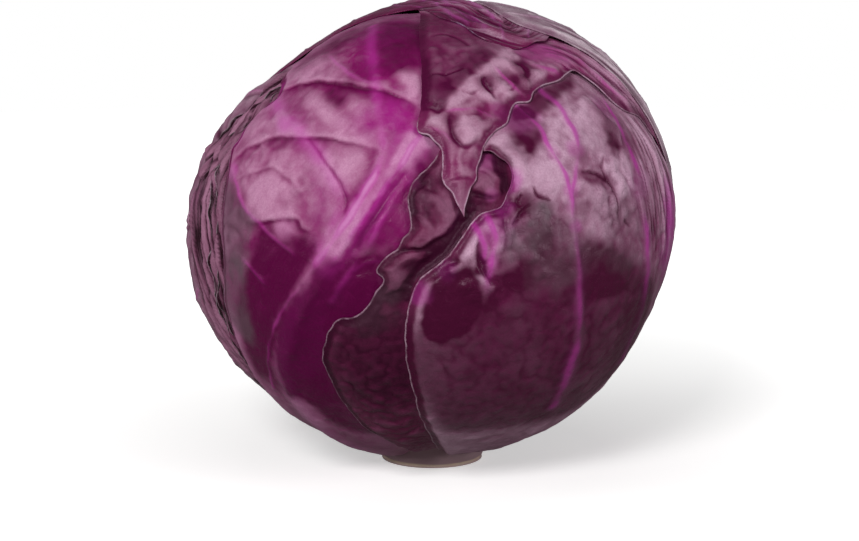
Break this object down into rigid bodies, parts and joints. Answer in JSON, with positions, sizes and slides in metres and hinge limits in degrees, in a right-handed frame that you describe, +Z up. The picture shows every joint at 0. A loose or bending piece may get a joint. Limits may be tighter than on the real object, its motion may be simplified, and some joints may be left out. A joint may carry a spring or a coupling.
{
  "type": "red cabbage head",
  "caption": "Round head of red cabbage on its cut stem, wrapped in overlapping waxy purple leaves with magenta veins and pale wavy margins.",
  "frame": {"origin": "middle of the cut stem face that the head stands on", "axes": "+Z up from the stem to the crown, -Y towards the front where the crown leaf's tongue hangs, +X to the right"},
  "size_m": [0.1572, 0.159, 0.151],
  "materials": {
    "cut_stem": "matte",
    "heart_leaf": "satin",
    "left_back_leaf": "satin",
    "left_edge_leaf_3": "satin",
    "left_edge_leaf_2": "satin",
    "left_edge_leaf_1": "satin",
    "left_leaf": "satin",
    "centre_leaf": "satin",
    "right_leaf": "satin",
    "crown_leaf": "satin",
    "cap_leaf": "satin",
    "right_back_leaf": "satin"
  },
  "bodies": {
    "root": {"stem": "cut_stem", "inner_head": "heart_leaf", "left_back_leaf": "left_back_leaf", "left_edge_leaf_3": "left_edge_leaf_3", "left_edge_leaf_2": "left_edge_leaf_2", "left_edge_leaf_1": "left_edge_leaf_1", "left_leaf": "left_leaf", "centre_leaf": "centre_leaf", "right_leaf": "right_leaf", "crown_leaf": "crown_leaf", "cap_leaf": "cap_leaf", "right_back_leaf": "right_back_leaf"}
  },
  "joints": []
}
